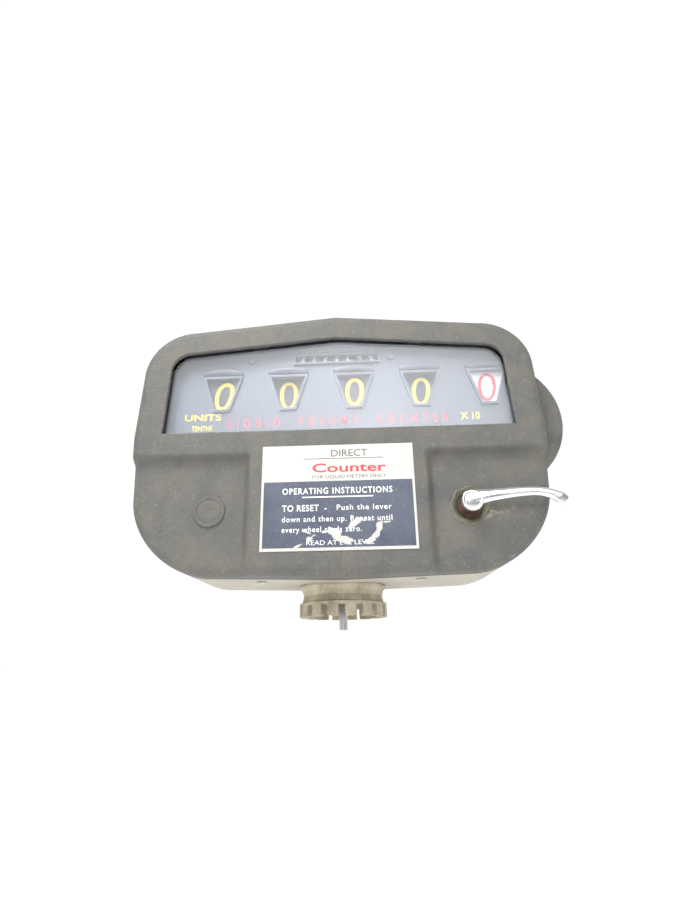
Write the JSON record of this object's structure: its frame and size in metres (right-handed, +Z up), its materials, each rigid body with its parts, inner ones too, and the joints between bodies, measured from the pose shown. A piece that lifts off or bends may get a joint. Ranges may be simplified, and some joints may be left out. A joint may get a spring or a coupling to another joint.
{
  "type": "meter register counter head",
  "caption": "Large-numeral reset counter for a liquid meter: roof-shaped case, glass window over number discs and a totalizer, side reset lever, slotted collar.",
  "frame": {"origin": "centre of the collar's bottom face, on the drive shaft's axis", "axes": "+Z up along the drive shaft, -Y out of the front face, +X to the viewer's right"},
  "size_m": [0.3212, 0.114, 0.236],
  "materials": {
    "wrinkle_paint": "olive-black wrinkle paint over cast aluminium",
    "glass": "clear plate glass",
    "gasket_rubber": "black rubber",
    "nameplate_foil": "printed foil, navy and white",
    "mask_enamel": "blue-black enamel",
    "khaki_casting": "khaki primer on a casting",
    "collar_iron": "brown-khaki casting with a machined ring",
    "chrome": "worn chrome",
    "bronze": "oil-stained bronze",
    "red_bronze": "red-brown bush",
    "spring_steel": "spring wire",
    "plate_aluminium": "rolled sheet",
    "cast_brackets": "grey casting",
    "black_screws": "blackened steel",
    "disc_black": "black enamel with yellow numerals",
    "disc_white": "white enamel with red numerals",
    "wheel_black": "black moulded wheel, white digits",
    "gear_brass": "cut brass",
    "bright_steel": "bright steel"
  },
  "bodies": {
    "head": {"front_cover": "wrinkle_paint", "window_glass": "glass", "glass_gasket": "gasket_rubber", "glass_clips": "bright_steel", "clip_screws": "bright_steel", "nameplate": "nameplate_foil", "blanking_plug": "wrinkle_paint", "mask_plate": "mask_enamel", "mask_posts": "bright_steel", "mask_screws": "bright_steel", "front_plate": "plate_aluminium", "rear_plate": "plate_aluminium", "plate_pillars": "bright_steel", "pillar_screws": "bright_steel", "shaft_brackets": "cast_brackets", "base_casting": "khaki_casting", "rear_housing": "wrinkle_paint", "cover_screws": "black_screws", "frame_screws": "bright_steel", "collar": "collar_iron", "collar_screws": "bright_steel", "drive_bush": "bronze", "reset_bush": "red_bronze", "return_spring": "spring_steel", "totalizer_frame": "cast_brackets", "totalizer_axle": "bright_steel"},
    "drive": {"drive_shaft": "bright_steel", "drive_bevels": "gear_brass"},
    "cross": {"cross_shaft": "bright_steel", "cross_bevels": "gear_brass"},
    "lay": {"lay_shaft": "gear_brass"},
    "jack": {"jack_shaft": "bright_steel", "jack_bevel": "gear_brass"},
    "totalizer_idler": {"totalizer_idler": "gear_brass"},
    "lever": {"reset_lever": "chrome", "reset_shaft": "bright_steel", "reset_sector": "gear_brass"},
    "reset_arbor": {"reset_pinion": "gear_brass"},
    "digit_1": {"number_disc_1": "disc_black", "disc_spindle_1": "gear_brass"},
    "digit_2": {"number_disc_2": "disc_black", "disc_spindle_2": "gear_brass"},
    "digit_3": {"number_disc_3": "disc_black", "disc_spindle_3": "gear_brass"},
    "digit_4": {"number_disc_4": "disc_black", "disc_spindle_4": "gear_brass"},
    "digit_5": {"number_disc_5": "disc_white", "disc_spindle_5": "gear_brass"},
    "transfer_1": {"transfer_gear_1": "gear_brass"},
    "transfer_2": {"transfer_gear_2": "gear_brass"},
    "transfer_3": {"transfer_gear_3": "gear_brass"},
    "transfer_4": {"transfer_gear_4": "gear_brass"},
    "counter_1": {"totalizer_wheel_1": "wheel_black"},
    "counter_2": {"totalizer_wheel_2": "wheel_black"},
    "counter_3": {"totalizer_wheel_3": "wheel_black"},
    "counter_4": {"totalizer_wheel_4": "wheel_black"},
    "counter_5": {"totalizer_wheel_5": "wheel_black"},
    "counter_6": {"totalizer_wheel_6": "wheel_black"},
    "counter_7": {"totalizer_wheel_7": "wheel_black"}
  },
  "joints": [
    {"name": "drive_spin", "type": "hinge", "parent": "head", "child": "drive", "pos_m": [0, 0, 0], "axis": [0, 0, 1], "continuous": true},
    {"name": "cross_spin", "type": "hinge", "parent": "head", "child": "cross", "pos_m": [0.05, 0, 0.1002], "axis": [1, 0, 0], "continuous": true},
    {"name": "lay_spin", "type": "hinge", "parent": "head", "child": "lay", "pos_m": [0.116, 0, 0.1002], "axis": [0, 1, 0], "continuous": true},
    {"name": "jack_spin", "type": "hinge", "parent": "head", "child": "jack", "pos_m": [0.03, 0, 0.1935], "axis": [1, 0, 0], "continuous": true},
    {"name": "totalizer_idler_spin", "type": "hinge", "parent": "head", "child": "totalizer_idler", "pos_m": [0.034, -0.02205, 0.1935], "axis": [1, 0, 0], "continuous": true},
    {"name": "digit_5_spin", "type": "hinge", "parent": "head", "child": "digit_5", "pos_m": [0.116, -0.02, 0.1362], "axis": [0, 1, 0], "continuous": true},
    {"name": "digit_4_spin", "type": "hinge", "parent": "head", "child": "digit_4", "pos_m": [0.0646, -0.02, 0.1362], "axis": [0, 1, 0], "continuous": true},
    {"name": "digit_3_spin", "type": "hinge", "parent": "head", "child": "digit_3", "pos_m": [0.0132, -0.02, 0.1362], "axis": [0, 1, 0], "continuous": true},
    {"name": "digit_2_spin", "type": "hinge", "parent": "head", "child": "digit_2", "pos_m": [-0.0382, -0.02, 0.1362], "axis": [0, 1, 0], "continuous": true},
    {"name": "digit_1_spin", "type": "hinge", "parent": "head", "child": "digit_1", "pos_m": [-0.0896, -0.02, 0.1362], "axis": [0, 1, 0], "continuous": true},
    {"name": "transfer_4_spin", "type": "hinge", "parent": "head", "child": "transfer_4", "pos_m": [0.10239, -0.025, 0.14382], "axis": [0, 1, 0], "continuous": true},
    {"name": "transfer_3_spin", "type": "hinge", "parent": "head", "child": "transfer_3", "pos_m": [0.05099, -0.025, 0.14382], "axis": [0, 1, 0], "continuous": true},
    {"name": "transfer_2_spin", "type": "hinge", "parent": "head", "child": "transfer_2", "pos_m": [-0.00041, -0.025, 0.14382], "axis": [0, 1, 0], "continuous": true},
    {"name": "transfer_1_spin", "type": "hinge", "parent": "head", "child": "transfer_1", "pos_m": [-0.05181, -0.025, 0.14382], "axis": [0, 1, 0], "continuous": true},
    {"name": "counter_7_spin", "type": "hinge", "parent": "head", "child": "counter_7", "pos_m": [0.027, -0.0441, 0.1935], "axis": [1, 0, 0], "continuous": true},
    {"name": "counter_6_spin", "type": "hinge", "parent": "head", "child": "counter_6", "pos_m": [0.018, -0.0441, 0.1935], "axis": [1, 0, 0], "continuous": true},
    {"name": "counter_5_spin", "type": "hinge", "parent": "head", "child": "counter_5", "pos_m": [0.009, -0.0441, 0.1935], "axis": [1, 0, 0], "continuous": true},
    {"name": "counter_4_spin", "type": "hinge", "parent": "head", "child": "counter_4", "pos_m": [0, -0.0441, 0.1935], "axis": [1, 0, 0], "continuous": true},
    {"name": "counter_3_spin", "type": "hinge", "parent": "head", "child": "counter_3", "pos_m": [-0.009, -0.0441, 0.1935], "axis": [1, 0, 0], "continuous": true},
    {"name": "counter_2_spin", "type": "hinge", "parent": "head", "child": "counter_2", "pos_m": [-0.018, -0.0441, 0.1935], "axis": [1, 0, 0], "continuous": true},
    {"name": "counter_1_spin", "type": "hinge", "parent": "head", "child": "counter_1", "pos_m": [-0.027, -0.0441, 0.1935], "axis": [1, 0, 0], "continuous": true},
    {"name": "lever_swing", "type": "hinge", "parent": "head", "child": "lever", "pos_m": [0.092, -0.075, 0.0698], "axis": [0, 1, 0], "range_deg": [-30, 30], "stiffness_Nm_per_rad": 0.25},
    {"name": "reset_pinion_spin", "type": "hinge", "parent": "head", "child": "reset_arbor", "pos_m": [0.06, -0.036, 0.0698], "axis": [0, 1, 0], "range_deg": [-95, 95]}
  ],
  "couplings": [
    {"joint": "cross_spin", "follows": "drive_spin", "ratio": 1},
    {"joint": "lay_spin", "follows": "drive_spin", "ratio": -1},
    {"joint": "jack_spin", "follows": "drive_spin", "ratio": 1},
    {"joint": "totalizer_idler_spin", "follows": "drive_spin", "ratio": -0.57143},
    {"joint": "digit_5_spin", "follows": "drive_spin", "ratio": 0.8},
    {"joint": "transfer_4_spin", "follows": "drive_spin", "ratio": -0.24},
    {"joint": "digit_4_spin", "follows": "drive_spin", "ratio": 0.08},
    {"joint": "transfer_3_spin", "follows": "drive_spin", "ratio": -0.024},
    {"joint": "digit_3_spin", "follows": "drive_spin", "ratio": 0.008},
    {"joint": "transfer_2_spin", "follows": "drive_spin", "ratio": -0.0024},
    {"joint": "digit_2_spin", "follows": "drive_spin", "ratio": 0.0008},
    {"joint": "transfer_1_spin", "follows": "drive_spin", "ratio": -0.00024},
    {"joint": "digit_1_spin", "follows": "drive_spin", "ratio": 0.00008},
    {"joint": "counter_7_spin", "follows": "drive_spin", "ratio": 1},
    {"joint": "counter_6_spin", "follows": "drive_spin", "ratio": 0.1},
    {"joint": "counter_5_spin", "follows": "drive_spin", "ratio": 0.01},
    {"joint": "counter_4_spin", "follows": "drive_spin", "ratio": 0.001},
    {"joint": "counter_3_spin", "follows": "drive_spin", "ratio": 0.0001},
    {"joint": "counter_2_spin", "follows": "drive_spin", "ratio": 0.00001},
    {"joint": "counter_1_spin", "follows": "drive_spin", "ratio": 0.000001},
    {"joint": "reset_pinion_spin", "follows": "lever_swing", "ratio": -3}
  ]
}
